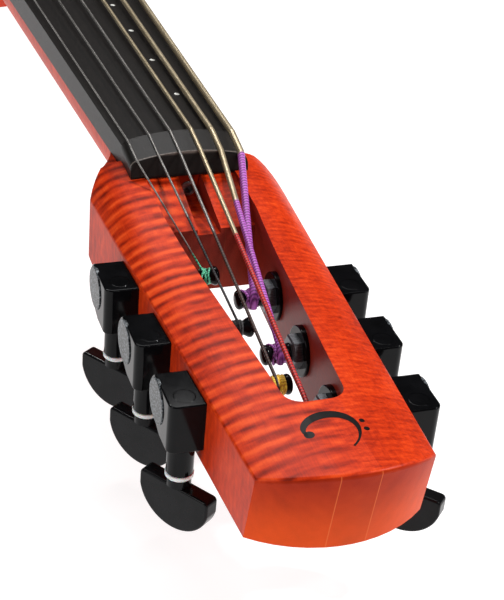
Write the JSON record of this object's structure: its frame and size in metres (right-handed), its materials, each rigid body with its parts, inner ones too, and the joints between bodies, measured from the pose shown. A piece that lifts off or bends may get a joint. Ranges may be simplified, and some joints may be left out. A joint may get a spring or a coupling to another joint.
{
  "type": "electric upright double bass",
  "caption": "Solid-body electric upright double bass lying on its back, with a slotted head, enclosed worm tuners, arched fingerboard, tall bridge and sliding endpin.",
  "frame": {"origin": "centre of the bounding box in plan, on the plane the instrument's back lies on", "axes": "+X from the thinnest string towards the thickest, +Y from the head towards the endpin, +Z from the back towards the strings"},
  "size_m": [0.2148, 1.3195, 0.1259],
  "materials": {
    "flamed_wood": "orange-red stained flamed maple, satin",
    "centre_wood": "orange-red stained maple, satin",
    "body_wood": "orange-red stained, satin",
    "ebony": "oiled ebony",
    "bridge_maple": "unstained maple",
    "black_hardware": "gloss black",
    "black_steel": "gloss black",
    "button_black": "dark satin gloss",
    "granite_cover": "speckled dark grey",
    "white_washer": "translucent white",
    "bushing_steel": "black with bright edges",
    "wheel_brass": "cut brass",
    "plain_string": "wound steel",
    "wound_string": "bronze tape winding",
    "dot_white": "pearl white",
    "rod_steel": "machined"
  },
  "bodies": {
    "instrument": {"body_core": "body_wood", "body_top": "flamed_wood", "bridge": "bridge_maple", "bridge_pickup": "button_black", "endpin_collar": "rod_steel", "fingerboard": "ebony", "gear_covers": "granite_cover", "neck_centre_lamination": "centre_wood", "neck_left_lamination": "flamed_wood", "neck_right_lamination": "flamed_wood", "nut": "ebony", "output_jack": "rod_steel", "position_dots": "dot_white", "post_bushings": "bushing_steel", "post_washers": "black_hardware", "stem_washers": "white_washer", "string_1": "plain_string", "string_2": "plain_string", "string_3": "plain_string", "string_4": "wound_string", "string_5": "wound_string", "string_6": "wound_string", "tailpiece": "ebony", "truss_rod": "rod_steel", "truss_rod_nut": "rod_steel", "tuner_housing_1": "black_hardware", "tuner_housing_2": "black_hardware", "tuner_housing_3": "black_hardware", "tuner_housing_4": "black_hardware", "tuner_housing_5": "black_hardware", "tuner_housing_6": "black_hardware", "worm_plugs": "black_hardware"},
    "tuner_1": {"worm_shaft_1": "black_steel", "tuner_button_1": "button_black"},
    "post_1": {"string_post_1": "black_steel", "worm_wheel_1": "wheel_brass"},
    "tuner_2": {"worm_shaft_2": "black_steel", "tuner_button_2": "button_black"},
    "post_2": {"string_post_2": "black_steel", "worm_wheel_2": "wheel_brass"},
    "tuner_3": {"worm_shaft_3": "black_steel", "tuner_button_3": "button_black"},
    "post_3": {"string_post_3": "black_steel", "worm_wheel_3": "wheel_brass"},
    "tuner_4": {"worm_shaft_4": "black_steel", "tuner_button_4": "button_black"},
    "post_4": {"string_post_4": "black_steel", "worm_wheel_4": "wheel_brass"},
    "tuner_5": {"worm_shaft_5": "black_steel", "tuner_button_5": "button_black"},
    "post_5": {"string_post_5": "black_steel", "worm_wheel_5": "wheel_brass"},
    "tuner_6": {"worm_shaft_6": "black_steel", "tuner_button_6": "button_black"},
    "post_6": {"string_post_6": "black_steel", "worm_wheel_6": "wheel_brass"},
    "volume_knob_body": {"volume_knob": "button_black"},
    "tone_knob_body": {"tone_knob": "button_black"},
    "endpin": {"endpin_rod": "rod_steel"},
    "thumb_screw": {"endpin_screw": "rod_steel"}
  },
  "joints": [
    {"name": "tuner_1_turn", "type": "hinge", "parent": "instrument", "child": "tuner_1", "pos_m": [-0.04884, -0.50617, 0.08602], "axis": [0, -0.0384, 0.9993], "continuous": true},
    {"name": "post_1_turn", "type": "hinge", "parent": "instrument", "child": "post_1", "pos_m": [-0.04884, -0.49498, 0.08645], "axis": [1, 0, 0], "continuous": true},
    {"name": "tuner_2_turn", "type": "hinge", "parent": "instrument", "child": "tuner_2", "pos_m": [-0.04667, -0.54814, 0.08441], "axis": [0, -0.0384, 0.9993], "continuous": true},
    {"name": "post_2_turn", "type": "hinge", "parent": "instrument", "child": "post_2", "pos_m": [-0.04667, -0.53695, 0.08484], "axis": [1, 0, 0], "continuous": true},
    {"name": "tuner_3_turn", "type": "hinge", "parent": "instrument", "child": "tuner_3", "pos_m": [-0.0445, -0.59011, 0.0828], "axis": [0, -0.0384, 0.9993], "continuous": true},
    {"name": "post_3_turn", "type": "hinge", "parent": "instrument", "child": "post_3", "pos_m": [-0.0445, -0.57892, 0.08323], "axis": [1, 0, 0], "continuous": true},
    {"name": "tuner_4_turn", "type": "hinge", "parent": "instrument", "child": "tuner_4", "pos_m": [0.04342, -0.61109, 0.08199], "axis": [0, -0.0384, 0.9993], "continuous": true},
    {"name": "post_4_turn", "type": "hinge", "parent": "instrument", "child": "post_4", "pos_m": [0.04342, -0.5999, 0.08242], "axis": [1, 0, 0], "continuous": true},
    {"name": "tuner_5_turn", "type": "hinge", "parent": "instrument", "child": "tuner_5", "pos_m": [0.04559, -0.56912, 0.0836], "axis": [0, -0.0384, 0.9993], "continuous": true},
    {"name": "post_5_turn", "type": "hinge", "parent": "instrument", "child": "post_5", "pos_m": [0.04559, -0.55793, 0.08403], "axis": [1, 0, 0], "continuous": true},
    {"name": "tuner_6_turn", "type": "hinge", "parent": "instrument", "child": "tuner_6", "pos_m": [0.04775, -0.52716, 0.08521], "axis": [0, -0.0384, 0.9993], "continuous": true},
    {"name": "post_6_turn", "type": "hinge", "parent": "instrument", "child": "post_6", "pos_m": [0.04775, -0.51596, 0.08564], "axis": [1, 0, 0], "continuous": true},
    {"name": "volume_knob_turn", "type": "hinge", "parent": "instrument", "child": "volume_knob_body", "pos_m": [0.078, 0.48959, 0.059], "axis": [0, 0, 1], "range_deg": [-150, 150]},
    {"name": "tone_knob_turn", "type": "hinge", "parent": "instrument", "child": "tone_knob_body", "pos_m": [0.078, 0.52459, 0.059], "axis": [0, 0, 1], "range_deg": [-150, 150]},
    {"name": "endpin_slide", "type": "slide", "parent": "instrument", "child": "endpin", "axis": [0, 1, 0], "range_m": [0, 0.15]},
    {"name": "endpin_screw_turn", "type": "hinge", "parent": "instrument", "child": "thumb_screw", "pos_m": [0, 0.63159, 0.026], "axis": [0, 0, 1], "range_deg": [-360, 360]}
  ],
  "couplings": [
    {"joint": "post_1_turn", "follows": "tuner_1_turn", "ratio": 0.055556},
    {"joint": "post_2_turn", "follows": "tuner_2_turn", "ratio": 0.055556},
    {"joint": "post_3_turn", "follows": "tuner_3_turn", "ratio": 0.055556},
    {"joint": "post_4_turn", "follows": "tuner_4_turn", "ratio": 0.055556},
    {"joint": "post_5_turn", "follows": "tuner_5_turn", "ratio": 0.055556},
    {"joint": "post_6_turn", "follows": "tuner_6_turn", "ratio": 0.055556}
  ]
}
